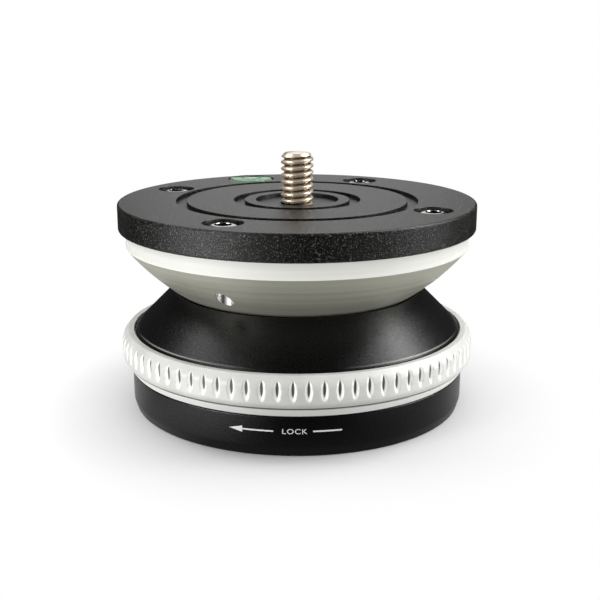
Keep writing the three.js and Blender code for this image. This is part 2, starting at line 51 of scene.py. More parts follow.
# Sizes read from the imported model, in metres.
plate_low, plate_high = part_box("top_plate")
band_low, band_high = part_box("ball_shell")
collar_low, collar_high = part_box("clamp_collar")
ring_low, ring_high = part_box("lock_ring")
foot_low, foot_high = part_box("base_body")
bush_low, bush_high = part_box("tripod_bush")
pad_low, pad_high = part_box("base_pad")
stud_low, stud_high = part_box("camera_stud")
vial_low, vial_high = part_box("level_vial")
liquid_low, liquid_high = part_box("level_liquid")
backing_low, backing_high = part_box("level_backing")
ball_centre = next(joint for joint in frame["joints"] if joint["name"] == "tilt")["pos_m"][2]

# Clearances.
SEATED_GAP = 0.1 * MM
OVERCUT = 1.0 * MM

# Top plate.
PLATE_EDGE_ROUND = 0.42 * MM
PLATE_GROOVE_DEPTH = 0.75 * MM
PLATE_GROOVE_WIDTH = 2.1 * MM
PLATE_GROOVE_ROUND = 0.06 * MM
RECESS_RADIUS = 8.1 * MM
INNER_GROOVE_RADIUS = 10.3 * MM
OUTER_GROOVE_RADIUS = 21.6 * MM
PLATE_HOLE_RADIUS = 3.3 * MM
PLATE_FLANGE_POCKET = (6.0 * MM, 2.2 * MM)

# Screws that hold the plate; angles in degrees.
SCREW_CIRCLE_RADIUS = 28.3 * MM
SCREW_ANGLES = [-117, -27, 61, 153]
SCREW_SOCKET_TURN = 20
SCREW_POCKET_RADIUS = 3.65 * MM
SCREW_POCKET_CHAMFER = 0.1 * MM
SCREW_HEAD_SINK = 0.3 * MM
SCREW_SOCKET_WIDTH = 2.9 * MM
SCREW_SOCKET_DEPTH = 1.7 * MM
SCREW_MOUTH_DEPTH = 0.25 * MM
SCREW_MOUTH_NARROWER = 0.15 * MM
SCREW_MOUTH_WIDER = 0.2 * MM
SCREW_HEAD_HEIGHT = 2.8 * MM
SCREW_HEAD_ROUND = 1.35 * MM
SCREW_SHANK_RADIUS = 2.0 * MM
SCREW_HOLE_RADIUS = 2.3 * MM
SHANK_HOLE_RADIUS = 2.15 * MM
SHANK_HOLE_DEEPER = 0.3 * MM
TAPPED_HOLE_RADIUS = 1.65 * MM

# Bubble level.
LEVEL_POCKET_GAP = 0.3 * MM
VIAL_WALL = 0.7 * MM
VIAL_EDGE_ROUND = 0.45 * MM
BUBBLE_RADIUS = 1.4 * MM
BUBBLE_HEIGHT_SHARE = 0.45
TARGET_RING_RADIUS = 1.9 * MM
TARGET_RING_WIDTH = 0.22 * MM
TARGET_RING_SINK = 0.02 * MM
TARGET_RING_RISE = 0.015 * MM
LEVEL_OVERLAP = 0.01 * MM

# Ball bowl.
BALL_RADIUS = 43.1 * MM
BALL_MOUTH_RADIUS = 13.25 * MM
BALL_WALL = 2.8 * MM
BOWL_BORE_RADIUS = 25.3 * MM
BAND_EDGE_ROUND = 0.18 * MM
BOWL_BORE_DEPTH = 5.0 * MM

# Clamp collar; the liner's arc in degrees from straight down.
SEAT_GAP = 0.15 * MM
LINER_THICKNESS = 1.0 * MM
LINER_GAP = 0.6 * MM
LINER_ARC = (32.0, 24.1)
LIP_WIDTH = 0.88 * MM
LIP_RISE = 0.19 * MM
LIP_DIP = 0.3 * MM
LIP_FACE_MARGIN = 0.06 * MM
COLLAR_THREAD_RADIUS = 31.8 * MM
COLLAR_EDGE_WIDTH = 0.3 * MM
COLLAR_EDGE_RISE = 0.35 * MM
COLLAR_SKIRT = 3.0 * MM
COLLAR_STEP_DROP = 0.55 * MM
COLLAR_WEB_DROP = 1.4 * MM
# A highlight painted along the collar's edge, left and right: ramps over the distance aside and from the
# edge.
EDGE_HIGHLIGHT_INNER = (8 * MM, 20 * MM)
EDGE_HIGHLIGHT_OUTER = (31 * MM, 25 * MM)
EDGE_HIGHLIGHT_BAND = (0.14 * MM, 0.05 * MM)

# Lock ring.
RING_FOOT_RADIUS = 33.25 * MM
RING_BELLY_BOTTOM = 2.6 * MM
RING_BELLY_TOP = 6.3 * MM
RING_TOP_RADIUS = 33.8 * MM
RING_MOUTH_RADIUS = 32.65 * MM
RING_THREAD_RADIUS = 32.1 * MM
RING_FLANGE_RADIUS = 27.0 * MM
RING_FLANGE_THICKNESS = 1.8 * MM
RING_MOUTH_DEPTH = 1.2 * MM
RING_LINE_HEIGHT = 1.7 * MM
RING_LINE_WIDTH = 0.46 * MM
RING_LINE_DEPTH = 0.6 * MM
FLUTE_COUNT = 80
FLUTE_PHASE = -0.26
FLUTE_WIDTH = 1.4 * MM
FLUTE_HEIGHT = 3.9 * MM
FLUTE_DEPTH = 0.5 * MM
FLUTE_MIDDLE = 5.05 * MM
FLUTE_ROW = 0.2 * MM
# Dark slits painted in the flutes as shade: their width, height and rise.
SHADE_SLIT_WIDTH = 0.66 * MM
SHADE_SLIT_HEIGHT = 3.3 * MM
SHADE_SLIT_RISE = 0.35 * MM
RING_SIDE_MARGIN = 0.2 * MM
COLUMNS_PER_FLUTE = 16
COLUMN_CROWDING = 1.6

# Foot.
FOOT_CHAMFER = (0.5 * MM, 1.7 * MM)
FOOT_TOP_ROUND = 0.3 * MM
FOOT_BOSS_RADIUS = 26.7 * MM
FOOT_WELL_RADIUS = 17.5 * MM
FOOT_WELL_FLOOR = 4.0 * MM
FOOT_BOSS_TOP = 9.75 * MM
FOOT_HUB_RADIUS = 9.0 * MM
FOOT_BOLT_HOLE = 2.2 * MM
WASHER_RECESS = (32.1 * MM, 0.6 * MM)
PAD_INNER_RADIUS = 10.0 * MM
PAD_GAP = 0.3 * MM
BUSH_GAP = 0.3 * MM
BUSH_BORE_RADIUS = 4.1 * MM

# Threads; depth, crest and flank as shares of the pitch.
CAMERA_THREAD_RADIUS = 3.175 * MM
CAMERA_THREAD_PITCH = 1.27 * MM
CAMERA_SCREW_BEVEL = 0.75 * MM
CAMERA_SCREW_FLANGE = 2.0 * MM
TRIPOD_THREAD_RADIUS = 4.7625 * MM
TRIPOD_THREAD_PITCH = 1.5875 * MM
THREAD_DEPTH_SHARE = 0.54
THREAD_ROWS_PER_TURN = 16
THREAD_CREST = 0.1
THREAD_FLANK = 0.34
THREAD_CURVE = 1.3

# Marks printed on the foot, measured along its front.
MARK_HEIGHT = 4.87 * MM
MARK_THICKNESS = 0.05 * MM
MARK_LINE_WIDTH = 0.28 * MM
MARK_ARROW = (-12.25 * MM, -9.8 * MM, -4.2 * MM)
MARK_ARROW_HEAD_WIDTH = 1.15 * MM
MARK_ARROW_TIP_WIDTH = 0.04 * MM
MARK_WORD_MIDDLE = -0.4 * MM
MARK_WORD_WIDTH = 4.4 * MM
MARK_WORD_HEIGHT = 0.95 * MM
MARK_LINE = (2.8 * MM, 7.95 * MM)
MARK_LETTER_SPACE = 1.12

# Roundness.
WIDE_SIDES = 256
SMALL_SIDES = 64
ARC_STEPS = 5
BALL_STEPS = 48

# The photograph's camera, fitted to the object's outlines: degrees, metres and pixels.
CAMERA_PITCH = 15.032
CAMERA_YAW = 0.166
CAMERA_ROLL = 0.05
CAMERA_PLACE = (0, -0.19973, 0.07339)
CAMERA_FOCAL_PIXELS = 1023.7
CAMERA_PICTURE_PIXELS = 600
CAMERA_SENSOR = 36

# Lamps: name, place, size and power. All of them face one point.
LAMP_TARGET = (0, 0, 0.03)
LAMPS = [
    ("left_light", (-0.51, -0.37, 0.045), (0.32, 0.1), 1.9),
    ("left_high_light", (-0.34, 0.1, 0.5), (0.25, 0.25), 1.0),
    ("front_left_light", (-0.38, -0.28, 0.43), (0.16, 0.16), 0.5),
    ("right_high_light", (0.35, 0.13, 0.5), (0.28, 0.28), 2.1),
    ("right_middle_light", (0.5, 0.0, 0.34), (0.2, 0.2), 1.2),
    ("right_light", (0.6, -0.06, 0.1), (0.25, 0.16), 1.15),
]

# Floor: its size and tone, and ramps as (from, to, value at from, value at to), over metres or a mask.
FLOOR_HALF_WIDTH = 4.0
FLOOR_TONE = (0.56, 0.56, 0.56, 1)
FLOOR_STRETCH = 1.15
FLOOR_SHIFT = 0.003
FLOOR_TO_WHITE = (0.036, 0.06, 0, 1)
FLOOR_BOUNCE = (0.005, 0.035, 0.35, 1.4)
FLOOR_BEHIND = (-0.05, 0.0, 0, 1)
FLOOR_NEAR = (0.12, 0.08, 0, 1)
FLOOR_MIRROR = (0, 1, 0.03, 0.55)
CARDS_FRONT = (-0.14, -0.08, 0, 1)
LEFT_CARD = (-0.01, -0.035, 0, 1.55)
RIGHT_CARD = (0.02, 0.05, 0, 0.8)

# Surround: such ramps over a direction's parts or a mask.
SKY_OVERHEAD = (0, 1, 0.36, 1.15)
SKY_MIRROR = (0, 1, 0.04, 0.95)
PANEL_ASIDE = (0.22, 0.14, 0, 1)
PANEL_UP = (0.04, 0.14, 0, 1)
PANEL_BACK = (0.3, 0.6, 0, 1)


# Shapes

def rounded(corners):
    """A closed outline through corners of (radius, height, fillet), with each fillet as an arc."""
    outline = []
    for i, (radius, height, fillet) in enumerate(corners):
        here = Vector((radius, height))
        if fillet == 0:
            outline.append(here)
            continue
        before = Vector(corners[i - 1][:2]) - here
        after = Vector(corners[(i + 1) % len(corners)][:2]) - here
        half = before.angle(after) / 2
        reach = min(fillet / math.tan(half), 0.48 * before.length, 0.48 * after.length)
        inset = reach * math.tan(half)
        centre = here + (before.normalized() + after.normalized()).normalized() * inset / math.sin(half)
        start = here + before.normalized() * reach - centre
        turn = start.angle_signed(here + after.normalized() * reach - centre)
        outline.append(here + before.normalized() * reach * 1.04)
        for step in range(ARC_STEPS + 1):
            spoke = start.copy()
            spoke.rotate(Matrix.Rotation(-turn * step / ARC_STEPS, 2))
            outline.append(centre + spoke)
        outline.append(here + after.normalized() * reach * 1.04)
    return outline


def arc_on_ball(radius, from_degrees, to_degrees, steps):
    """Outline points on a sphere round the ball's centre, by their angle from straight down."""
    points = []
    for step in range(steps + 1):
        angle = math.radians(from_degrees + (to_degrees - from_degrees) * step / steps)
        points.append(Vector((radius * math.sin(angle), ball_centre - radius * math.cos(angle))))
    return points


def arc_by_radii(sphere_radius, radii, steps):
    """Such an arc between two distances from the axis."""
    angles = [math.degrees(math.asin(radius / sphere_radius)) for radius in radii]
    return arc_on_ball(sphere_radius, *angles, steps)


def spin_outline(outline, sides, closed=True, sectors=8):
    """A bmesh of the outline turned round +Z: one sector is spun and then copied round."""
    sector = bmesh.new()
    verts = [sector.verts.new((point.x, 0, point.y)) for point in outline]
    edges = [sector.edges.new(pair) for pair in zip(verts, verts[1:])]
    if closed:
        edges.append(sector.edges.new((verts[-1], verts[0])))
    bmesh.ops.spin(
        sector, geom=verts + edges, cent=(0, 0, 0), axis=(0, 0, 1),
        angle=2 * math.pi / sectors, steps=sides // sectors,
    )
    bm = copies_round(sector, 0, [360 * i / sectors for i in range(sectors)])
    bmesh.ops.remove_doubles(bm, verts=bm.verts, dist=1e-7)
    bmesh.ops.recalc_face_normals(bm, faces=bm.faces)
    return bm


def add_object(name, data):
    made = bpy.data.objects.new(name, data)
    bpy.context.scene.collection.objects.link(made)
    return made


def piece_from(bm, name, material, sharp_degrees=32):
    """An object at the origin that holds the bmesh, smooth but for its sharp edges."""
    mesh = bpy.data.meshes.new(name)
    bm.to_mesh(mesh)
    bm.free()
    mesh.shade_smooth()
    mesh.set_sharp_from_angle(angle=math.radians(sharp_degrees))
    mesh.materials.append(material)
    return add_object(name, mesh)


def post_bmesh(profile):
    """A solid of (radius, height) pairs turned round +Z; its first and last pair lie on the axis."""
    return spin_outline([Vector(pair) for pair in profile], SMALL_SIDES, closed=False)


def rod(radius, bottom, top):
    """A plain cylinder on the axis."""
    return post_bmesh([(0, bottom), (radius, bottom), (radius, top), (0, top)])


def hex_prism(width, bottom, top):
    bm = bmesh.new()
    radius = width / math.sqrt(3)
    bmesh.ops.create_cone(
        bm, cap_ends=True, segments=6, radius1=radius, radius2=radius, depth=top - bottom,
        matrix=Matrix.Translation((0, 0, (top + bottom) / 2)),
    )
    return bm


def place_round(circle_radius, degrees, own_turn=0):
    """A matrix that puts a shape on a circle round +Z, turned with its place and by its own turn."""
    angle = math.radians(degrees)
    place = Matrix.Translation((circle_radius * math.cos(angle), circle_radius * math.sin(angle), 0))
    return place @ Matrix.Rotation(angle + math.radians(own_turn), 4, "Z")


def copies_round(bm, circle_radius, angles):
    """One bmesh with a copy of the given one at each angle of a circle."""
    gathered = bmesh.new()
    for degrees in angles:
        mesh = bpy.data.meshes.new("copy")
        bm.to_mesh(mesh)
        mesh.transform(place_round(circle_radius, degrees))
        gathered.from_mesh(mesh)
        bpy.data.meshes.remove(mesh)
    bm.free()
    return gathered


def drilled(piece, cutters, wall=None, sharp_degrees=32):
    """Cuts each bmesh of cutters out of the piece; the last cut's walls may have their own material."""
    material = piece.data.materials[0]
    for bm in cutters:
        cutter = piece_from(bm, "cutter", wall if wall and bm is cutters[-1] else material)
        cut = piece.modifiers.new("cut", "BOOLEAN")
        cut.operation = "DIFFERENCE"
        cut.solver = "EXACT"
        cut.material_mode = "TRANSFER"
        cut.object = cutter
        evaluated = piece.evaluated_get(bpy.context.evaluated_depsgraph_get())
        mesh = bpy.data.meshes.new_from_object(evaluated)
        piece.modifiers.clear()
        piece.data = mesh
        bpy.data.objects.remove(cutter)
    piece.data.shade_smooth()
    piece.data.set_sharp_from_angle(angle=math.radians(sharp_degrees))
    return piece


def fit_piece(piece, body, slot, *nodes):
    """Makes the piece ride on its body and stand for its nodes; slot is not used."""
    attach(piece, body)
    if nodes:
        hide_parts(*nodes)


# Materials

def feed(tree, socket, value):
    """Gives an input socket a plain value or a link from an output socket."""
    if isinstance(value, bpy.types.NodeSocket):
        tree.links.new(value, socket)
    else:
        socket.default_value = value


def node(tree, kind, **inputs):
    """A shader node; inputs are given by socket name or, with a leading s, by number."""
    made = tree.nodes.new(kind)
    for key, value in inputs.items():
        socket = made.inputs[int(key[1:])] if key[1:].isdigit() else made.inputs[key.replace("_", " ")]
        feed(tree, socket, value)
    return made


def maths(tree, operation, first, second=0.0, clamp=False):
    made = node(tree, "ShaderNodeMath", s0=first, s1=second)
    made.operation = operation
    made.use_clamp = clamp
    return made.outputs[0]


def times(tree, first, second):
    return maths(tree, "MULTIPLY", first, second)


def spread(tree, value, low, high, to_low=0.0, to_high=1.0):
    """Maps a value from one range to another and clamps it."""
    return node(
        tree, "ShaderNodeMapRange", Value=value, From_Min=low, From_Max=high, To_Min=to_low, To_Max=to_high
    ).outputs["Result"]


def noise(tree, place, scale, detail):
    return node(tree, "ShaderNodeTexNoise", Vector=place, Scale=scale, Detail=detail).outputs["Fac"]


def parts_of(tree, vector):
    """A vector's X, Y and Z."""
    return node(tree, "ShaderNodeSeparateXYZ", Vector=vector).outputs


def new_group(name, inputs, outputs):
    """A node group; inputs are (name, kind, default) and outputs (name, kind)."""
    group = bpy.data.node_groups.new(name, "ShaderNodeTree")
    for label, kind, default in inputs:
        socket = group.interface.new_socket(label, in_out="INPUT", socket_type="NodeSocket" + kind)
        if default is not None:
            socket.default_value = default
    for label, kind in outputs:
        group.interface.new_socket(label, in_out="OUTPUT", socket_type="NodeSocket" + kind)
    return group, group.nodes.new("NodeGroupInput").outputs, group.nodes.new("NodeGroupOutput").inputs


def coat_grain_group():
    """Fine pebbled paint: a height, a bright speckle mask and slow blotches."""
    group, given, out = new_group(
        "coat_grain",
        [("Vector", "Vector", None), ("Grain Scale", "Float", 4000.0), ("Blotch Scale", "Float", 120.0)],
        [("Height", "Float"), ("Speckle", "Float"), ("Blotch", "Float")],
    )
    place = given["Vector"]
    pebble = node(group, "ShaderNodeTexVoronoi", Vector=place, Scale=given["Grain Scale"])
    pebble.feature = "SMOOTH_F1"
    dome = maths(group, "SUBTRACT", 1.0, pebble.outputs["Distance"])
    fine = noise(group, place, times(group, given["Grain Scale"], 0.8), 3.0)
    blotch = noise(group, place, given["Blotch Scale"], 4.0)
    group.links.new(maths(group, "ADD", times(group, dome, 0.5), fine), out["Height"])
    group.links.new(spread(group, fine, 0.56, 0.7), out["Speckle"])
    group.links.new(spread(group, blotch, 0.3, 0.7), out["Blotch"])
    return group


def turning_group():
    """Fine lines left by a lathe, round the Z axis: a height and a value."""
    group, given, out = new_group(
        "turning_lines",
        [("Vector", "Vector", None), ("Line Scale", "Float", 9000.0)],
        [("Height", "Float"), ("Streak", "Float")],
    )
    parts = parts_of(group, given["Vector"])
    across = times(group, parts["X"], parts["X"])
    along = times(group, parts["Y"], parts["Y"])
    radius = maths(group, "SQRT", maths(group, "ADD", across, along))
    swing = times(group, maths(group, "ARCTAN2", parts["Y"], parts["X"]), 0.0004)
    place = node(group, "ShaderNodeCombineXYZ", X=radius, Y=parts["Z"], Z=swing).outputs[0]
    wide = noise(group, place, times(group, given["Line Scale"], 0.12), 3.0)
    group.links.new(noise(group, place, given["Line Scale"], 2.0), out["Height"])
    group.links.new(spread(group, wide, 0.3, 0.7), out["Streak"])
    return group


def dust_group():
    """Sparse pale specks that lie on upward faces."""
    group, given, out = new_group(
        "dust", [("Vector", "Vector", None), ("Amount", "Float", 0.5)], [("Mask", "Float")]
    )
    place = given["Vector"]
    specks = node(group, "ShaderNodeTexVoronoi", Vector=place, Scale=900.0)
    near = spread(group, specks.outputs["Distance"], 0.09, 0.03)
    facing = node(group, "ShaderNodeNewGeometry").outputs["Normal"]
    lying = spread(group, parts_of(group, facing)["Z"], 0.4, 0.95)
    patch = spread(group, noise(group, place, 150.0, 2.0), 0.5, 0.62)
    scattered = times(group, times(group, near, lying), patch)
    group.links.new(maths(group, "MULTIPLY", scattered, given["Amount"], clamp=True), out["Mask"])
    return group


GRAIN = coat_grain_group()
TURNING = turning_group()
DUST = dust_group()


def use_group(tree, group, **inputs):
    made = tree.nodes.new("ShaderNodeGroup")
    made.node_tree = group
    for key, value in inputs.items():
        feed(tree, made.inputs[key.replace("_", " ")], value)
    return made.outputs


def start_material(name, **settings):
    """A material with its Principled shader's plain values set; gives its tree, shader and place vector."""
    made = bpy.data.materials.new(name)
    made.use_nodes = True
    tree = made.node_tree
    shader = tree.nodes["Principled BSDF"]
    for key, value in settings.items():
        shader.inputs[key.replace("_", " ")].default_value = value
    return made, tree, shader, node(tree, "ShaderNodeTexCoord").outputs["Object"]


def mix_colour(tree, factor, first, second):
    made = tree.nodes.new("ShaderNodeMix")
    made.data_type = "RGBA"
    colours = [socket for socket in made.inputs if socket.type == "RGBA"]
    tree.links.new(factor, made.inputs["Factor"])
    for socket, value in zip(colours, (first, second)):
        feed(tree, socket, value if isinstance(value, bpy.types.NodeSocket) else (*value, 1))
    return next(socket for socket in made.outputs if socket.type == "RGBA")


def attribute(tree, name):
    """A value that a piece's mesh carries at its corners."""
    made = tree.nodes.new("ShaderNodeAttribute")
    made.attribute_name = name
    return made.outputs["Fac"]


def grained(tree, grain, smooth, coarse):
    """A roughness that follows the grain's height."""
    return spread(tree, grain["Height"], 0.3, 1.3, smooth, coarse)


def surface(tree, shader, colour, rough=None, height=None, depth=0.0):
    """Links a colour, a roughness and a height of some depth to the shader."""
    tree.links.new(colour, shader.inputs["Base Color"])
    if rough is not None:
        tree.links.new(rough, shader.inputs["Roughness"])
    if height is not None:
        bump = node(tree, "ShaderNodeBump", Height=height, Distance=depth, Strength=1.0)
        tree.links.new(bump.outputs[0], shader.inputs["Normal"])


def painted_edge_highlight(tree, place, edge_height):
    """A mask for a painted highlight along the edge at a height: at the left and right of the front and back.
    """
    parts = parts_of(tree, place)
    off_edge = maths(tree, "ABSOLUTE", maths(tree, "SUBTRACT", parts["Z"], edge_height))
    aside = maths(tree, "ABSOLUTE", parts["X"])
    lit_aside = times(tree, spread(tree, aside, *EDGE_HIGHLIGHT_INNER), spread(tree, aside, *EDGE_HIGHLIGHT_OUTER))
    return times(tree, spread(tree, off_edge, *EDGE_HIGHLIGHT_BAND), lit_aside)


def coated_black(name, grain_scale, grain_depth, dark, light, fleck, rough, highlight_height=None):
    """Black paint with a pebbled grain, flecks, blotches, a little dust and perhaps a painted highlight along
    an edge.
    """
    made, tree, shader, place = start_material(name, Specular_IOR_Level=0.4)
    grain = use_group(tree, GRAIN, Vector=place, Grain_Scale=grain_scale)
    dust = use_group(tree, DUST, Vector=place, Amount=0.3)
    blotched = mix_colour(tree, grain["Blotch"], dark, light)
    colour = mix_colour(tree, times(tree, grain["Speckle"], 0.7), blotched, fleck)
    # A pale band painted along the edge as a highlight.
    if highlight_height:
        colour = mix_colour(tree, painted_edge_highlight(tree, place, highlight_height), colour, (0.22, 0.22, 0.21))
    dusty = mix_colour(tree, dust["Mask"], colour, (0.15, 0.15, 0.145))
    dulled = grained(tree, grain, rough - 0.06, rough + 0.08)
    surface(tree, shader, dusty, dulled, grain["Height"], grain_depth)
    return made


def bowl_aluminium():
    """The ball is satin with faint lathe lines; the band above it is matte and painted brighter, as painted
    light.
    """
    made, tree, shader, place = start_material("bowl_aluminium")
    lines = use_group(tree, TURNING, Vector=place)
    band = spread(tree, parts_of(tree, place)["Z"], band_bottom - 0.05 * MM, band_bottom + 0.02 * MM)
    ball_colour = mix_colour(tree, lines["Streak"], (0.43, 0.43, 0.36), (0.52, 0.52, 0.44))
    # The band's brighter colour is painted light.
    band_painted_light = mix_colour(tree, lines["Streak"], (0.63, 0.63, 0.585), (0.71, 0.71, 0.67))
    colour = mix_colour(tree, band, ball_colour, band_painted_light)
    surface(tree, shader, colour, spread(tree, lines["Streak"], 0, 1, 0.4, 0.48), lines["Height"], 0.000004)
    tree.links.new(spread(tree, band, 0, 1, 0.55, 0.0), shader.inputs["Metallic"])
    return made


def ring_aluminium():
    """Bead-blasted aluminium; the lip is painted lighter and the flutes brighter as painted light, the groove
    line and slits painted dark as shade.
    """
    made, tree, shader, place = start_material("ring_aluminium", Metallic=0.12)
    grain = use_group(tree, GRAIN, Vector=place, Grain_Scale=7000.0, Blotch_Scale=200.0)
    colour = mix_colour(tree, grain["Blotch"], (0.53, 0.535, 0.51), (0.61, 0.615, 0.59))
    # The flutes' scoops are painted brighter: painted highlight.
    painted_flute_highlight = spread(tree, attribute(tree, "flute"), 0.02, 0.3)
    colour = mix_colour(tree, painted_flute_highlight, colour, (0.9, 0.9, 0.88))
    # Slits painted dark in the flutes: painted shade.
    painted_slit_shade = spread(tree, attribute(tree, "slit_shade"), 0.05, 0.5)
    colour = mix_colour(tree, painted_slit_shade, colour, (0.09, 0.09, 0.08))
    # Below the line the lip is painted lighter: painted light.
    below = maths(tree, "SUBTRACT", ring_low.z + RING_LINE_HEIGHT, parts_of(tree, place)["Z"])
    colour = mix_colour(tree, spread(tree, below, 0.2 * MM, 0.28 * MM), colour, (0.76, 0.765, 0.74))
    # The groove line is painted dark: painted shade.
    line = spread(tree, maths(tree, "ABSOLUTE", below), 0.17 * MM, 0.1 * MM)
    colour = mix_colour(tree, line, colour, (0.2, 0.2, 0.19))
    surface(tree, shader, colour, grained(tree, grain, 0.4, 0.5), grain["Height"], 0.000016)
    return made


def plain_metal(name, colour, shade, rough, grain_depth=0.000002):
    """A machined metal with slow changes of tone, for screws, pins and washers."""
    made, tree, shader, place = start_material(name, Metallic=1.0)
    grain = use_group(tree, GRAIN, Vector=place, Grain_Scale=6000.0, Blotch_Scale=900.0)
    tone = mix_colour(tree, grain["Blotch"], colour, shade)
    dulled = spread(tree, grain["Blotch"], 0, 1, rough - 0.05, rough + 0.08)
    surface(tree, shader, tone, dulled, grain["Height"], grain_depth)
    return made


def screw_metal():
    """Nickelled thread, with its roots painted darker as shade."""
    made, tree, shader, place = start_material("screw_metal", Metallic=0.75)
    grain = use_group(tree, GRAIN, Vector=place, Grain_Scale=6000.0, Blotch_Scale=900.0)
    crest = mix_colour(tree, grain["Blotch"], (0.93, 0.83, 0.68), (0.85, 0.74, 0.58))
    # Thread roots painted dark: painted shade.
    colour = mix_colour(tree, spread(tree, attribute(tree, "root"), 0.35, 1.0), crest, (0.16, 0.1, 0.05))
    surface(tree, shader, colour, spread(tree, grain["Blotch"], 0, 1, 0.24, 0.36), grain["Height"], 0.0000005)
    return made


def matte_plastic(name, colour, shade, rough):
    made, tree, shader, place = start_material(name)
    grain = use_group(tree, GRAIN, Vector=place, Grain_Scale=5000.0, Blotch_Scale=400.0)
    tone = mix_colour(tree, grain["Blotch"], colour, shade)
    surface(tree, shader, tone, grained(tree, grain, rough - 0.05, rough + 0.05), grain["Height"], 0.000005)
    return made


def foot_rubber():
    """The friction pad: rubber with fine granules, paler where it is rubbed."""
    made, tree, shader, place = start_material("foot_rubber", Specular_IOR_Level=0.3)
    grain = use_group(tree, GRAIN, Vector=place, Grain_Scale=1500.0, Blotch_Scale=80.0)
    granule = mix_colour(tree, grain["Speckle"], (0.02, 0.02, 0.02), (0.07, 0.068, 0.064))
    tone = mix_colour(tree, grain["Blotch"], granule, (0.035, 0.034, 0.033))
    surface(tree, shader, tone, grained(tree, grain, 0.75, 0.95), grain["Height"], 0.00006)
    return made


def clear_acrylic():
    return start_material(
        "clear_acrylic", Transmission_Weight=1.0, Roughness=0.02, IOR=1.3, Base_Color=(0.86, 0.98, 0.88, 1)
    )[0]


def level_liquid():
    made, tree, shader, place = start_material("level_liquid", Roughness=0.1, Specular_IOR_Level=0.1)
    grain = use_group(tree, GRAIN, Vector=place, Blotch_Scale=150.0)
    surface(tree, shader, mix_colour(tree, grain["Blotch"], (0.17, 0.31, 0.19), (0.21, 0.35, 0.23)))
    return made


def printed_ink():
    made, tree, shader, place = start_material("printed_ink", Roughness=0.5)
    grain = use_group(tree, GRAIN, Vector=place, Grain_Scale=7000.0)
    surface(tree, shader, mix_colour(tree, grain["Speckle"], (0.68, 0.67, 0.65), (0.5, 0.49, 0.48)))
    return made


band_bottom = ball_centre - math.sqrt(BALL_RADIUS ** 2 - band_high.x ** 2)
GRAINY_BLACK = coated_black(
    "grainy_black", grain_scale=5400.0, grain_depth=0.00005, dark=(0.0008, 0.0008, 0.0007),
    light=(0.002, 0.002, 0.0018), fleck=(0.17, 0.163, 0.15), rough=0.36,
)
# The collar's edge carries a painted highlight.
SATIN_BLACK = coated_black(
    "satin_black", grain_scale=5200.0, grain_depth=0.00003, dark=(0.0003, 0.0003, 0.0003),
    light=(0.001, 0.001, 0.001), fleck=(0.005, 0.005, 0.0047), rough=0.28,
    highlight_height=ring_high.z + COLLAR_EDGE_RISE,
)
BOWL_METAL = bowl_aluminium()
RING_METAL = ring_aluminium()
STUD_METAL = screw_metal()
DARK_STEEL = plain_metal("dark_steel", (0.10, 0.10, 0.105), (0.06, 0.06, 0.065), 0.34)
POLISHED_STEEL = plain_metal("polished_steel", (0.6, 0.59, 0.57), (0.5, 0.49, 0.47), 0.16, 0.0000004)
THREADED_HOLE = plain_metal("threaded_hole", (0.9, 0.88, 0.84), (0.7, 0.68, 0.64), 0.28)
BRIGHT_STEEL = plain_metal("bright_steel", (0.62, 0.6, 0.57), (0.52, 0.5, 0.47), 0.3)
BRONZE = plain_metal("bronze", (0.55, 0.38, 0.2), (0.45, 0.3, 0.15), 0.35)
SLIP_PLASTIC = matte_plastic("slip_plastic", (0.72, 0.71, 0.67), (0.66, 0.65, 0.6), 0.55)
# A dull black that stands in for shade.
PAINTED_SHADE_BLACK = matte_plastic("painted_shade_black", (0.004, 0.004, 0.004), (0.002, 0.002, 0.002), 0.85)
FOOT_RUBBER = foot_rubber()
CLEAR_ACRYLIC = clear_acrylic()
LEVEL_LIQUID = level_liquid()
PRINTED_INK = printed_ink()


# Pieces of the head

plate_radius = plate_high.x
plate_top = plate_high.z
plate_bottom = plate_low.z
recess_floor = plate_top - PLATE_GROOVE_DEPTH
head_top = plate_top - SCREW_HEAD_SINK
screw_seat = head_top - SCREW_HEAD_HEIGHT
screw_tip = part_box("plate_screw_1")[0].z
level_centre = (vial_low + vial_high) / 2
level_radius = math.hypot(level_centre.x, level_centre.y)
level_angle = math.degrees(math.atan2(level_centre.y, level_centre.x))
vial_radius = (vial_high.x - vial_low.x) / 2


def pocket_cutter(radius, floor, chamfer):
    """A cutter for a round pocket in the plate's top, with a bevelled mouth."""
    above = plate_top + OVERCUT
    return post_bmesh([
        (0, floor), (radius, floor), (radius, plate_top - chamfer),
        (radius + chamfer + OVERCUT, above), (0, above),
    ])


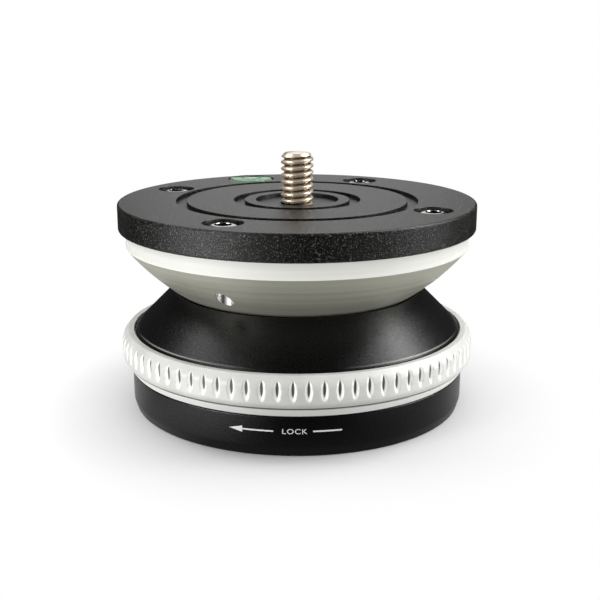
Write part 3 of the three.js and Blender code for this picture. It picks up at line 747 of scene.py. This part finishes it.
def top_plate():
    groove = PLATE_GROOVE_ROUND
    corners = [(PLATE_HOLE_RADIUS, recess_floor, 0)]
    corners += [(RECESS_RADIUS, recess_floor, 0), (RECESS_RADIUS, plate_top, groove)]
    for radius in (INNER_GROOVE_RADIUS, OUTER_GROOVE_RADIUS):
        outer = radius + PLATE_GROOVE_WIDTH
        corners += [(radius, plate_top, groove), (radius, recess_floor, 0)]
        corners += [(outer, recess_floor, 0), (outer, plate_top, groove)]
    pocket_radius, pocket_depth = PLATE_FLANGE_POCKET
    corners += [
        (plate_radius, plate_top, PLATE_EDGE_ROUND),
        (plate_radius, plate_bottom, PLATE_EDGE_ROUND),
        (pocket_radius, plate_bottom, 0),
        (pocket_radius, plate_bottom + pocket_depth, 0),
        (PLATE_HOLE_RADIUS, plate_bottom + pocket_depth, 0),
    ]
    plate = piece_from(spin_outline(rounded(corners), WIDE_SIDES), "plate_casting", GRAINY_BLACK)
    pocket = pocket_cutter(SCREW_POCKET_RADIUS, screw_seat - SEATED_GAP, SCREW_POCKET_CHAMFER)
    hole = rod(SCREW_HOLE_RADIUS, plate_bottom - OVERCUT, plate_top)
    level_pocket = pocket_cutter(
        vial_radius + LEVEL_POCKET_GAP, vial_low.z - SEATED_GAP, SCREW_POCKET_CHAMFER / 2
    )
    drilled(plate, [
        copies_round(pocket, SCREW_CIRCLE_RADIUS, SCREW_ANGLES),
        copies_round(hole, SCREW_CIRCLE_RADIUS, SCREW_ANGLES),
        copies_round(level_pocket, level_radius, [level_angle]),
    ])
    fit_piece(plate, "head", "grainy_black", "top_plate")


def plate_screw():
    """One socket screw on the axis, for its copies."""
    head_radius = (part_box("plate_screw_1")[1].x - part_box("plate_screw_1")[0].x) / 2
    bevel = SCREW_HEAD_ROUND
    profile = [(0, screw_tip), (SCREW_SHANK_RADIUS, screw_tip), (SCREW_SHANK_RADIUS, screw_seat)]
    profile += [(head_radius, screw_seat)]
    for step in range(ARC_STEPS + 1):
        turn = math.radians(90 * step / ARC_STEPS)
        profile.append((
            head_radius - bevel + bevel * math.cos(turn), head_top - bevel + bevel * math.sin(turn),
        ))
    profile.append((0, head_top))
    screw = piece_from(post_bmesh(profile), "socket_screw", POLISHED_STEEL)
    mouth_bottom, mouth_top = head_top - SCREW_MOUTH_DEPTH, head_top + SEATED_GAP
    mouth = post_bmesh([
        (0, mouth_bottom), (SCREW_SOCKET_WIDTH / 2 - SCREW_MOUTH_NARROWER, mouth_bottom),
        (SCREW_SOCKET_WIDTH / 2 + SCREW_MOUTH_WIDER, mouth_top), (0, mouth_top),
    ])
    socket = hex_prism(SCREW_SOCKET_WIDTH, head_top - SCREW_SOCKET_DEPTH, head_top + OVERCUT)
    # The socket's walls take the darker steel: painted shade in the socket.
    return drilled(screw, [mouth, socket], DARK_STEEL)


def plate_screws():
    pattern = plate_screw()
    for i, degrees in enumerate(SCREW_ANGLES):
        mesh = pattern.data.copy()
        mesh.transform(place_round(SCREW_CIRCLE_RADIUS, degrees, SCREW_SOCKET_TURN * i))
        screw = add_object(f"plate_cap_screw_{i + 1}", mesh)
        fit_piece(screw, "head", "dark_steel", f"plate_screw_{i + 1}")
    bpy.data.objects.remove(pattern)


def thread_radius(radius, pitch, height, turn):
    """A 60 degree thread with a narrow crest and a wider root; turn is a share of a full turn."""
    phase = (height / pitch - turn) % 1.0
    from_crest = min(phase, 1.0 - phase)
    flank = min(max((from_crest - THREAD_CREST) / THREAD_FLANK, 0.0), 1.0)
    return radius - pitch * THREAD_DEPTH_SHARE * flank ** THREAD_CURVE


def threaded_bmesh(radius, pitch, bottom, top, bevel):
    """A threaded rod on the axis, with a bevelled tip."""
    rows = round((top - bottom) / pitch * THREAD_ROWS_PER_TURN)
    profile = [(0, bottom)]
    profile += [(radius, bottom + (top - bottom) * row / rows) for row in range(rows + 1)]
    profile.append((0, top))
    bm = post_bmesh(profile)
    # How deep each point lies in the thread; the stud's material paints shade in the roots by it.
    root = bm.verts.layers.float.new("root")
    for vert in bm.verts:
        reach = math.hypot(vert.co.x, vert.co.y)
        if reach < radius / 2:
            continue
        turn = math.atan2(vert.co.y, vert.co.x) / (2 * math.pi)
        tip = radius - max(0.0, bevel - (top - vert.co.z))
        thread = thread_radius(radius, pitch, vert.co.z, turn)
        vert[root] = (radius - thread) / (pitch * THREAD_DEPTH_SHARE)
        share = min(thread, tip) / reach
        vert.co.x *= share
        vert.co.y *= share
    return bm


def camera_stud():
    flange_radius = stud_high.x
    flange_top = stud_low.z + CAMERA_SCREW_FLANGE
    neck = recess_floor - OVERCUT
    thread = threaded_bmesh(CAMERA_THREAD_RADIUS, CAMERA_THREAD_PITCH, neck, stud_high.z, CAMERA_SCREW_BEVEL)
    flange = post_bmesh([
        (0, stud_low.z), (flange_radius, stud_low.z), (flange_radius, flange_top),
        (CAMERA_THREAD_RADIUS, flange_top), (CAMERA_THREAD_RADIUS, neck), (0, neck),
    ])
    fit_piece(piece_from(thread, "camera_screw", STUD_METAL, 60), "head", "bright_steel", "camera_stud")
    fit_piece(piece_from(flange, "camera_screw_flange", STUD_METAL), "head", "bright_steel", "camera_stud")


def level_piece(bm, name, material, slot, *nodes):
    """Moves a bmesh made on the axis to the level's place and makes it a piece of the head."""
    bmesh.ops.translate(bm, verts=bm.verts, vec=(level_centre.x, level_centre.y, 0))
    fit_piece(piece_from(bm, name, material), "head", slot, *nodes)


def bubble_level():
    bore = vial_radius - VIAL_WALL
    roof = vial_high.z - VIAL_WALL
    bevel = VIAL_EDGE_ROUND
    vial = post_bmesh([
        (0, vial_high.z), (vial_radius - bevel, vial_high.z),
        (vial_radius - 0.3 * bevel, vial_high.z - 0.3 * bevel), (vial_radius, vial_high.z - bevel),
        (vial_radius, vial_low.z), (bore, vial_low.z), (bore, roof), (0, roof),
    ])
    level_piece(vial, "level_vial_clear", CLEAR_ACRYLIC, "clear_vial", "level_vial")

    reach = bore + LEVEL_OVERLAP
    top = roof + LEVEL_OVERLAP
    profile = [(0, liquid_low.z), (reach, liquid_low.z), (reach, top)]
    for step in range(2 * ARC_STEPS + 1):
        turn = math.radians(90 * step / (2 * ARC_STEPS))
        sag = BUBBLE_HEIGHT_SHARE * BUBBLE_RADIUS * math.sin(turn)
        profile.append((BUBBLE_RADIUS * math.cos(turn), top - sag))
    profile[-1] = (0, top - sag)
    level_piece(post_bmesh(profile), "level_fluid", LEVEL_LIQUID, "level_green", "level_liquid")

    backing = rod((liquid_high.x - liquid_low.x) / 2, backing_low.z, backing_high.z)
    level_piece(backing, "level_back_disc", SLIP_PLASTIC, "slip_plastic", "level_backing")

    inner, outer = TARGET_RING_RADIUS, TARGET_RING_RADIUS + TARGET_RING_WIDTH
    low, high = vial_high.z - TARGET_RING_SINK, vial_high.z + TARGET_RING_RISE
    target = spin_outline(
        rounded([(inner, low, 0), (outer, low, 0), (outer, high, 0), (inner, high, 0)]), SMALL_SIDES
    )
    level_piece(target, "level_target_ring", FOOT_RUBBER, "grainy_black")


def ball_bowl():
    band_radius, band_top = band_high.x, band_high.z
    outline = arc_by_radii(BALL_RADIUS, (BALL_MOUTH_RADIUS, band_radius), BALL_STEPS)
    corner = outline.pop()
    edge = rounded([
        (*outline[-1], 0), (*corner, BAND_EDGE_ROUND), (band_radius, band_top, BAND_EDGE_ROUND),
        (BOWL_BORE_RADIUS, band_top, BAND_EDGE_ROUND), (BOWL_BORE_RADIUS, band_top - BOWL_BORE_DEPTH, 0),
    ])
    outline += edge[1:-1]
    outline += arc_by_radii(BALL_RADIUS - BALL_WALL, (BOWL_BORE_RADIUS, BALL_MOUTH_RADIUS), BALL_STEPS // 2)
    bowl = piece_from(spin_outline(outline, WIDE_SIDES), "ball_bowl", BOWL_METAL)
    shank = rod(SHANK_HOLE_RADIUS, screw_tip - SHANK_HOLE_DEEPER, band_top + OVERCUT)
    tapped = rod(TAPPED_HOLE_RADIUS, collar_high.z, band_top)
    holes = [copies_round(hole, SCREW_CIRCLE_RADIUS, SCREW_ANGLES) for hole in (shank, tapped)]
    drilled(bowl, holes, THREADED_HOLE, 25)
    fit_piece(bowl, "head", "satin_aluminium", "ball_shell")


# Collar, ring and foot

def clamp_collar():
    seat = BALL_RADIUS + SEAT_GAP
    lip = collar_high.z
    lip_radius = math.sqrt(seat ** 2 - (ball_centre - lip) ** 2)
    throat_radius = math.sqrt(seat ** 2 - (ball_centre - lip + LIP_DIP) ** 2)
    radius = collar_high.x
    web = ring_high.z - COLLAR_WEB_DROP
    arc = arc_on_ball(BALL_RADIUS + LINER_THICKNESS + LINER_GAP, *LINER_ARC, BALL_STEPS // 4)
    bore = arc[-1].x
    corners = [
        (COLLAR_THREAD_RADIUS, collar_low.z, 0),
        (COLLAR_THREAD_RADIUS, ring_high.z - COLLAR_STEP_DROP, 0),
        (radius, ring_high.z - COLLAR_STEP_DROP, 0),
        (radius, ring_high.z, 0.1 * MM),
        (radius - COLLAR_EDGE_WIDTH, ring_high.z + COLLAR_EDGE_RISE, 0.4 * MM),
        (lip_radius + LIP_WIDTH, lip + LIP_RISE, 0.08 * MM),
        (throat_radius, lip - LIP_DIP, 0.05 * MM),
    ]
    outline = rounded([*corners, (arc[0].x, arc[0].y, 0), (bore, web, 0)])[:-2]
    outline += arc
    skirt = COLLAR_THREAD_RADIUS - COLLAR_SKIRT
    outline += [Vector(pair) for pair in [(bore, web), (skirt, web), (skirt, collar_low.z)]]
    collar = piece_from(spin_outline(outline, WIDE_SIDES), "collar_cone", SATIN_BLACK)
    # The lip's inner faces take the dull black: painted shade for the dark line between ball and collar.
    collar.data.materials.append(PAINTED_SHADE_BLACK)
    for face in collar.data.polygons:
        inner = math.hypot(face.center.x, face.center.y) < lip_radius + LIP_WIDTH - LIP_FACE_MARGIN
        if inner and face.center.z > lip - LIP_DIP:
            face.material_index = 1
    fit_piece(collar, "collar", "black_paint", "clamp_collar")


def fluted(bm):
    """Crowds the ring's columns at its grip flutes and presses the flutes in, as upright oval scoops."""
    middle = ring_low.z + FLUTE_MIDDLE
    per_turn = FLUTE_COUNT / (2 * math.pi)
    depth_share = bm.verts.layers.float.new("flute")
    slit_shade_share = bm.verts.layers.float.new("slit_shade")
    for vert in bm.verts:
        radius = math.hypot(vert.co.x, vert.co.y)
        turn = math.atan2(vert.co.y, vert.co.x) * per_turn
        nearest = round(turn)
        aside = math.copysign(0.5 * abs(2 * (turn - nearest)) ** COLUMN_CROWDING, turn - nearest)
        angle = (nearest + aside + FLUTE_PHASE) / per_turn
        across = aside / per_turn * radius
        up = vert.co.z - middle
        share = 1 - (2 * across / FLUTE_WIDTH) ** 2 - (2 * up / FLUTE_HEIGHT) ** 2
        if share > 0 and radius > RING_MOUTH_RADIUS + RING_SIDE_MARGIN:
            vert[depth_share] = share
            # The mask for the slits painted dark as shade in each flute.
            vert[slit_shade_share] = 1 - (2 * across / SHADE_SLIT_WIDTH) ** 2 - (2 * (up - SHADE_SLIT_RISE) / SHADE_SLIT_HEIGHT) ** 2
            radius -= FLUTE_DEPTH * share
        vert.co.x = radius * math.cos(angle)
        vert.co.y = radius * math.sin(angle)


def lock_ring():
    radius = ring_high.x
    bottom, top = ring_low.z, ring_high.z
    belly_low, belly_high = bottom + RING_BELLY_BOTTOM, bottom + RING_BELLY_TOP

    def side_radius(height):
        share = height / RING_BELLY_BOTTOM
        return RING_FOOT_RADIUS + (radius - RING_FOOT_RADIUS) * share

    line = RING_LINE_HEIGHT
    corners = [
        (RING_FLANGE_RADIUS, bottom, 0),
        (RING_FOOT_RADIUS, bottom, 0.2 * MM),
        (side_radius(line - RING_LINE_WIDTH / 2), bottom + line - RING_LINE_WIDTH / 2, 0.05 * MM),
        (side_radius(line) - RING_LINE_DEPTH, bottom + line, 0),
        (side_radius(line + RING_LINE_WIDTH / 2), bottom + line + RING_LINE_WIDTH / 2, 0.05 * MM),
        (radius, belly_low, 1.6 * MM),
        (radius, belly_high, 2.4 * MM),
        (RING_TOP_RADIUS, top, 0.5 * MM),
        (RING_MOUTH_RADIUS, top, 0.2 * MM),
        (RING_MOUTH_RADIUS, top - RING_MOUTH_DEPTH, 0),
        (RING_THREAD_RADIUS, top - RING_MOUTH_DEPTH, 0),
        (RING_THREAD_RADIUS, bottom + RING_FLANGE_THICKNESS, 0),
        (RING_FLANGE_RADIUS, bottom + RING_FLANGE_THICKNESS, 0),
    ]
    outline = []
    points = rounded(corners)
    for here, after in zip(points, points[1:] + points[:1]):
        outline.append(here)
        at_flutes = abs((here.y + after.y) / 2 - bottom - FLUTE_MIDDLE) < FLUTE_HEIGHT / 2
        if min(here.x, after.x) > RING_TOP_RADIUS - RING_SIDE_MARGIN and at_flutes:
            parts = math.ceil((after - here).length / FLUTE_ROW)
            outline += [here.lerp(after, part / parts) for part in range(1, parts)]
    bm = spin_outline(outline, FLUTE_COUNT * COLUMNS_PER_FLUTE, sectors=FLUTE_COUNT)
    fluted(bm)
    fit_piece(piece_from(bm, "grip_ring", RING_METAL, 40), "lock_ring", "satin_aluminium", "lock_ring")


def foot():
    radius = foot_high.x
    top = ring_low.z - SEATED_GAP
    chamfer_width, chamfer_height = FOOT_CHAMFER
    recess_radius, recess_depth = WASHER_RECESS
    pad_inner, pad_outer = PAD_INNER_RADIUS - PAD_GAP, pad_high.x + PAD_GAP
    pad_top = pad_high.z + SEATED_GAP
    bush_radius = bush_high.x + BUSH_GAP
    bush_top = bush_high.z + BUSH_GAP
    corners = [
        (bush_radius, 0, 0),
        (pad_inner, 0, 0.15 * MM),
        (pad_inner, pad_top, 0),
        (pad_outer, pad_top, 0),
        (pad_outer, 0, 0.15 * MM),
        (radius - chamfer_width, 0, 0.3 * MM),
        (radius, chamfer_height, 2.0 * MM),
        (radius, top, FOOT_TOP_ROUND),
        (recess_radius, top, 0),
        (recess_radius, top - recess_depth, 0),
        (FOOT_BOSS_RADIUS, top - recess_depth, 0),
        (FOOT_BOSS_RADIUS, FOOT_BOSS_TOP, 0.2 * MM),
        (FOOT_WELL_RADIUS, FOOT_BOSS_TOP, 0.2 * MM),
        (FOOT_WELL_RADIUS, FOOT_WELL_FLOOR, 0),
        (FOOT_HUB_RADIUS, FOOT_WELL_FLOOR, 0),
        (FOOT_HUB_RADIUS, foot_high.z, 0.3 * MM),
        (FOOT_BOLT_HOLE, foot_high.z, 0),
        (FOOT_BOLT_HOLE, bush_top, 0),
        (bush_radius, bush_top, 0),
    ]
    body = piece_from(spin_outline(rounded(corners), WIDE_SIDES), "foot_body", SATIN_BLACK)
    fit_piece(body, "base", "black_paint", "base_body")


def friction_pad():
    low, high = pad_low.z, pad_high.z
    pad = spin_outline(rounded([
        (PAD_INNER_RADIUS, low, 0.2 * MM), (pad_high.x, low, 0.2 * MM),
        (pad_high.x, high, 0), (PAD_INNER_RADIUS, high, 0),
    ]), WIDE_SIDES)
    fit_piece(piece_from(pad, "friction_pad", FOOT_RUBBER), "base", "rubber", "base_pad")


def tripod_bush():
    """The steel insert, with its thread cut into the bore."""
    radius, top = bush_high.x, bush_high.z
    bore = TRIPOD_THREAD_RADIUS
    rows = round(top / TRIPOD_THREAD_PITCH * THREAD_ROWS_PER_TURN)
    outline = [Vector((bore, top * row / rows)) for row in range(rows, -1, -1)]
    outline += [Vector((radius, 0)), Vector((radius, top))]
    bm = spin_outline(outline, SMALL_SIDES)
    mouth = bore + SEATED_GAP
    for vert in bm.verts:
        reach = math.hypot(vert.co.x, vert.co.y)
        if reach > (bore + radius) / 2:
            continue
        turn = math.atan2(vert.co.y, vert.co.x) / (2 * math.pi)
        thread = thread_radius(bore, TRIPOD_THREAD_PITCH, vert.co.z, turn)
        share = max(thread, mouth - vert.co.z, BUSH_BORE_RADIUS) / reach
        vert.co.x *= share
        vert.co.y *= share
    fit_piece(piece_from(bm, "threaded_bush", BRIGHT_STEEL, 60), "base", "bright_steel", "tripod_bush")


# Marks on the foot

def wrapped(bm, name):
    """Bends a flat shape, drawn in X and Z, round the foot's front, and gives it its thickness."""
    radius = foot_high.x
    wall = bmesh.ops.extrude_face_region(bm, geom=bm.faces[:])
    moved = [item for item in wall["geom"] if isinstance(item, bmesh.types.BMVert)]
    for vert in moved:
        vert.co.y -= MARK_THICKNESS
    for vert in bm.verts:
        angle = vert.co.x / radius
        reach = radius - MARK_THICKNESS / 2 - vert.co.y
        vert.co = Vector((reach * math.sin(angle), -reach * math.cos(angle), vert.co.z))
    bmesh.ops.recalc_face_normals(bm, faces=bm.faces)
    fit_piece(piece_from(bm, name, PRINTED_INK), "base", "slip_plastic")


def strip(x_from, x_to, half_from, half_to, steps=8):
    """A flat strip along X round the marks' height, whose half height may change along it."""
    bm = bmesh.new()
    before = None
    for step in range(steps + 1):
        x = x_from + (x_to - x_from) * step / steps
        half = half_from + (half_to - half_from) * step / steps
        low = bm.verts.new((x, 0, MARK_HEIGHT - half))
        high = bm.verts.new((x, 0, MARK_HEIGHT + half))
        if before:
            bm.faces.new((before[0], low, high, before[1]))
        before = (low, high)
    return bm


def lock_arrow():
    tip, neck, tail = MARK_ARROW
    half = MARK_LINE_WIDTH / 2
    wrapped(strip(tip, neck, MARK_ARROW_TIP_WIDTH / 2, MARK_ARROW_HEAD_WIDTH / 2), "lock_arrow_head")
    wrapped(strip(neck, tail, half, half), "lock_arrow_shaft")
    wrapped(strip(*MARK_LINE, half, half), "lock_line")


def lock_word():
    words = bpy.data.curves.new("lock_word_shape", "FONT")
    words.body = "LOCK"
    words.align_x = "CENTER"
    words.align_y = "CENTER"
    words.space_character = MARK_LETTER_SPACE
    written = add_object("lock_word_shape", words)
    flat = bpy.data.meshes.new_from_object(written.evaluated_get(bpy.context.evaluated_depsgraph_get()))
    bpy.data.objects.remove(written)
    bm = bmesh.new()
    bm.from_mesh(flat)
    bpy.data.meshes.remove(flat)
    lows = [min(vert.co[axis] for vert in bm.verts) for axis in (0, 1)]
    highs = [max(vert.co[axis] for vert in bm.verts) for axis in (0, 1)]
    for vert in bm.verts:
        across = (vert.co.x - lows[0]) / (highs[0] - lows[0]) - 0.5
        up = (vert.co.y - lows[1]) / (highs[1] - lows[1]) - 0.5
        x = MARK_WORD_MIDDLE + across * MARK_WORD_WIDTH
        vert.co = Vector((x, 0, MARK_HEIGHT + up * MARK_WORD_HEIGHT))
    wrapped(bm, "lock_word")


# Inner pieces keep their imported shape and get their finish

def finish_inner_pieces():
    finishes = {
        "thrust_washer": SLIP_PLASTIC,
        "retainer_ring": BRIGHT_STEEL,
        "retainer_screw": DARK_STEEL,
        "guide_pin": BRIGHT_STEEL,
        # The seat liner takes the same black: painted shade in the gap round the ball.
        "seat_liner": PAINTED_SHADE_BLACK,
        "clamp_dish": DARK_STEEL,
        "spring_washer": BRIGHT_STEEL,
        "clamp_bolt": DARK_STEEL,
        "dish_washer": BRONZE,
        "ball_liner": BRONZE,
    }
    for name, inner in frame["nodes"].items():
        finish = finishes.get(name.rstrip("_0123456789"))
        if finish and not inner.hide_render:
            inner.data.materials.clear()
            inner.data.materials.append(finish)


# Camera, floor and light

def photo_camera():
    pitch, yaw, roll = (math.radians(angle) for angle in (CAMERA_PITCH, CAMERA_YAW, CAMERA_ROLL))
    forward = Vector((math.sin(yaw) * math.cos(pitch), math.cos(yaw) * math.cos(pitch), -math.sin(pitch)))
    right = Vector((math.cos(yaw), -math.sin(yaw), 0))
    up = right.cross(forward)
    across = right * math.cos(roll) + up * math.sin(roll)
    upward = up * math.cos(roll) - right * math.sin(roll)
    data = bpy.data.cameras.new("photo_camera")
    data.sensor_width = CAMERA_SENSOR
    data.lens = CAMERA_FOCAL_PIXELS / CAMERA_PICTURE_PIXELS * data.sensor_width
    data.clip_start = 0.01
    camera = add_object("photo_camera", data)
    turn = Matrix((across, upward, -forward)).transposed()
    camera.matrix_world = Matrix.Translation(CAMERA_PLACE) @ turn.to_4x4()
    bpy.context.scene.camera = camera


def glow(tree, strength):
    return node(tree, "ShaderNodeEmission", Color=(1, 1, 1, 1), Strength=strength).outputs[0]


def blend(tree, share, first, second):
    return node(tree, "ShaderNodeMixShader", s0=share, s1=first, s2=second).outputs[0]


def seen_directly(tree, path):
    """1 where a ray comes from the camera, also through clear pieces."""
    return maths(tree, "MAXIMUM", path["Is Camera Ray"], path["Is Transmission Ray"])


def pale_floor():
    """A wide pale floor that keeps the object's shadow and meets the white surround.

    Matte surfaces get light back from its sides, and glossy ones mirror it as a table with two cards.
    """
    made = bpy.data.materials.new("pale_floor")
    made.use_nodes = True
    tree = made.node_tree
    tree.nodes.clear()
    path = node(tree, "ShaderNodeLightPath").outputs
    parts = parts_of(tree, node(tree, "ShaderNodeTexCoord").outputs["Object"])
    shifted = maths(tree, "SUBTRACT", times(tree, parts["X"], FLOOR_STRETCH), FLOOR_SHIFT)
    around = node(tree, "ShaderNodeCombineXYZ", X=shifted, Y=parts["Y"]).outputs[0]
    length = node(tree, "ShaderNodeVectorMath", s0=around)
    length.operation = "LENGTH"
    reach = length.outputs["Value"]

    matte = node(tree, "ShaderNodeBsdfDiffuse", Color=FLOOR_TONE).outputs[0]
    whitened = times(tree, seen_directly(tree, path), spread(tree, reach, *FLOOR_TO_WHITE))
    seen = blend(tree, whitened, matte, glow(tree, 1.0))
    bounce = glow(tree, spread(tree, maths(tree, "ABSOLUTE", parts["X"]), *FLOOR_BOUNCE))
    lit = blend(tree, path["Is Diffuse Ray"], seen, bounce)

    behind = spread(tree, parts["Y"], *FLOOR_BEHIND)
    table = times(tree, spread(tree, reach, *FLOOR_NEAR), behind)
    cards = maths(tree, "ADD", spread(tree, parts["X"], *LEFT_CARD), spread(tree, parts["X"], *RIGHT_CARD))
    before = times(tree, spread(tree, parts["Y"], *CARDS_FRONT), maths(tree, "SUBTRACT", 1.0, behind))
    strength = maths(tree, "MAXIMUM", spread(tree, table, *FLOOR_MIRROR), times(tree, cards, before))
    mirrored = glow(tree, strength)

    output = node(tree, "ShaderNodeOutputMaterial")
    tree.links.new(blend(tree, path["Is Glossy Ray"], lit, mirrored), output.inputs["Surface"])
    bm = bmesh.new()
    bmesh.ops.create_grid(bm, x_segments=1, y_segments=1, size=FLOOR_HALF_WIDTH)
    piece_from(bm, "floor", made)


def soft_world():
    """White where it is seen, a soft light on matte surfaces, and a white panel behind for mirrored rays."""
    world = bpy.data.worlds.new("studio")
    bpy.context.scene.world = world
    world.use_nodes = True
    tree = world.node_tree
    tree.nodes.clear()
    path = node(tree, "ShaderNodeLightPath").outputs
    parts = parts_of(tree, node(tree, "ShaderNodeTexCoord").outputs["Generated"])
    aside = maths(tree, "ABSOLUTE", parts["X"])
    panel = times(tree, spread(tree, aside, *PANEL_ASIDE), spread(tree, parts["Z"], *PANEL_UP))
    panel = times(tree, panel, spread(tree, parts["Y"], *PANEL_BACK))
    overhead = spread(tree, parts["Z"], *SKY_OVERHEAD)
    strength = spread(tree, path["Is Glossy Ray"], 0, 1, overhead, spread(tree, panel, *SKY_MIRROR))
    strength = spread(tree, seen_directly(tree, path), 0, 1, strength, 1.0)
    surround = node(tree, "ShaderNodeBackground", Color=(1, 1, 1, 1), Strength=strength)
    output = node(tree, "ShaderNodeOutputWorld")
    tree.links.new(surround.outputs[0], output.inputs["Surface"])


def studio_lights():
    for name, place, size, power in LAMPS:
        data = bpy.data.lights.new(name, "AREA")
        data.shape = "RECTANGLE"
        data.size, data.size_y = size
        data.energy = power
        lamp = add_object(name, data)
        lamp.location = place
        lamp.rotation_mode = "QUATERNION"
        lamp.rotation_quaternion = (Vector(LAMP_TARGET) - Vector(place)).to_track_quat("-Z", "Y")
        lamp.visible_camera = False


photo_camera()
top_plate()
plate_screws()
camera_stud()
bubble_level()
ball_bowl()
clamp_collar()
lock_ring()
foot()
friction_pad()
tripod_bush()
lock_arrow()
lock_word()
finish_inner_pieces()
pale_floor()
soft_world()
studio_lights()

bpy.context.scene.view_settings.view_transform = "Standard"
